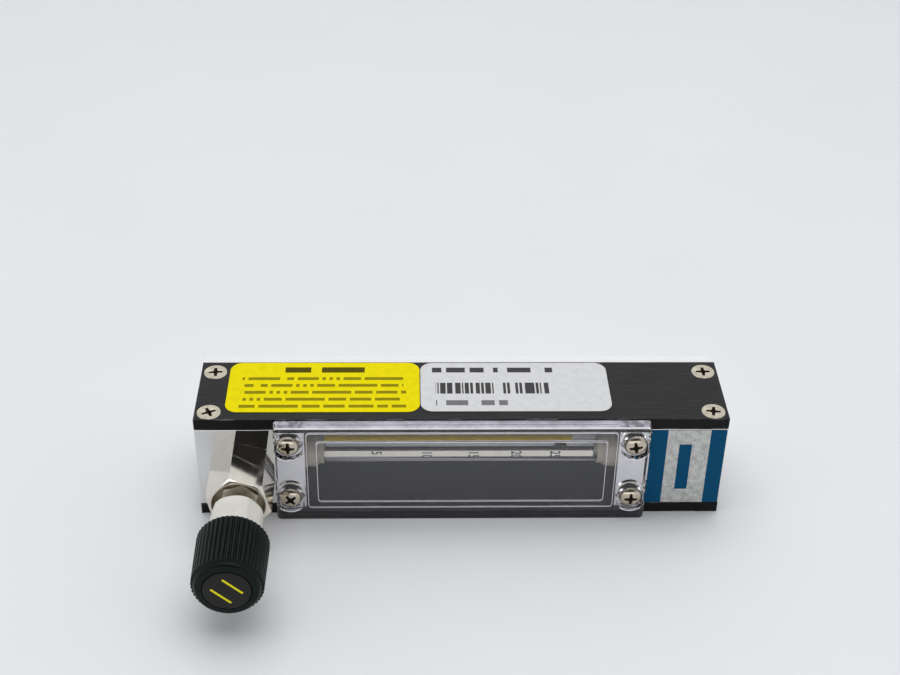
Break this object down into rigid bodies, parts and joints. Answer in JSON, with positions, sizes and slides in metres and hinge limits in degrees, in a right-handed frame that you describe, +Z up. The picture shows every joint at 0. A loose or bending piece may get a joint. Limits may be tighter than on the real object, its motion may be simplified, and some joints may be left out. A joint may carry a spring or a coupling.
{
  "type": "gas flowmeter with metering valve",
  "caption": "Compact panel gas flowmeter lying on its side: glass tube with ball float behind a clear shield, black side plates, chromed end blocks, and a fine metering valve with a ribbed knob.",
  "frame": {"origin": "centre of the lower side plate's outer face, on which the part lies", "axes": "+X from the valve end to the outlet end along the flow tube, -Y out of the front window, +Z up"},
  "size_m": [0.126, 0.0771, 0.0288],
  "materials": {
    "black_anodised": "black anodised, satin",
    "mirror_chrome": "polished",
    "nickel": "bright nickel",
    "clear_plastic": "clear, glossy",
    "tube_glass": "clear, with fired scale",
    "float_glass": "black glass ball",
    "white_acrylic": "opal white",
    "white_acetal": "machined",
    "cream_ptfe": "machined",
    "brass": "machined",
    "stainless": "turned",
    "rubber": "matt",
    "black_knob": "moulded, fine grain",
    "grey_cap": "fine grain, with two yellow bars",
    "yellow_label": "printed film, plain bars in place of text",
    "white_label": "printed film, plain bars in place of text",
    "blue_label": "printed film, plain blue and silver bands"
  },
  "bodies": {
    "frame": {"upper_side_plate": "black_anodised", "lower_side_plate": "black_anodised", "inlet_block": "mirror_chrome", "outlet_block": "mirror_chrome", "back_plate": "white_acrylic", "front_shield": "clear_plastic", "upper_side_screw_1": "nickel", "upper_side_screw_2": "nickel", "upper_side_screw_3": "nickel", "upper_side_screw_4": "nickel", "lower_side_screw_1": "nickel", "lower_side_screw_2": "nickel", "lower_side_screw_3": "nickel", "lower_side_screw_4": "nickel", "shield_screw_1": "nickel", "shield_screw_2": "nickel", "shield_screw_3": "nickel", "shield_screw_4": "nickel", "flow_tube": "tube_glass", "inlet_tube_seat": "cream_ptfe", "outlet_tube_seat": "cream_ptfe", "inlet_tube_seal": "rubber", "outlet_tube_seal": "rubber", "inlet_float_stop": "cream_ptfe", "outlet_float_stop": "cream_ptfe", "tube_clamp_screw": "brass", "clamp_screw_ring": "rubber", "end_plug": "nickel", "end_plug_ring": "rubber", "valve_seat": "cream_ptfe", "valve_seat_ring": "rubber", "valve_bonnet": "nickel", "bonnet_ring": "rubber", "stem_packing": "cream_ptfe", "gland_nut": "nickel", "needle_guide": "brass", "inlet_fitting": "nickel", "outlet_fitting": "nickel", "inlet_fitting_ring": "rubber", "outlet_fitting_ring": "rubber", "yellow_label": "yellow_label", "white_label": "white_label", "blue_label": "blue_label"},
    "float": {"float_ball": "float_glass"},
    "needle": {"needle": "stainless"},
    "knob": {"spindle": "stainless", "knob_collar": "white_acetal", "knob": "black_knob", "knob_collet": "brass", "collet_nut": "brass", "knob_cap": "grey_cap"}
  },
  "joints": [
    {"name": "float_slide", "type": "slide", "parent": "frame", "child": "float", "axis": [1, 0, 0], "range_m": [-0.0572, 0.0065]},
    {"name": "needle_slide", "type": "slide", "parent": "frame", "child": "needle", "axis": [0, -1, 0], "range_m": [-0.0032, 0.0016]},
    {"name": "knob_turn", "type": "hinge", "parent": "needle", "child": "knob", "pos_m": [-0.052, -0.0115, 0.0143], "axis": [0, -1, 0], "range_deg": [-3600, 1800]}
  ],
  "couplings": [
    {"joint": "needle_slide", "follows": "knob_turn", "m_per_rad": 0.000050532}
  ]
}
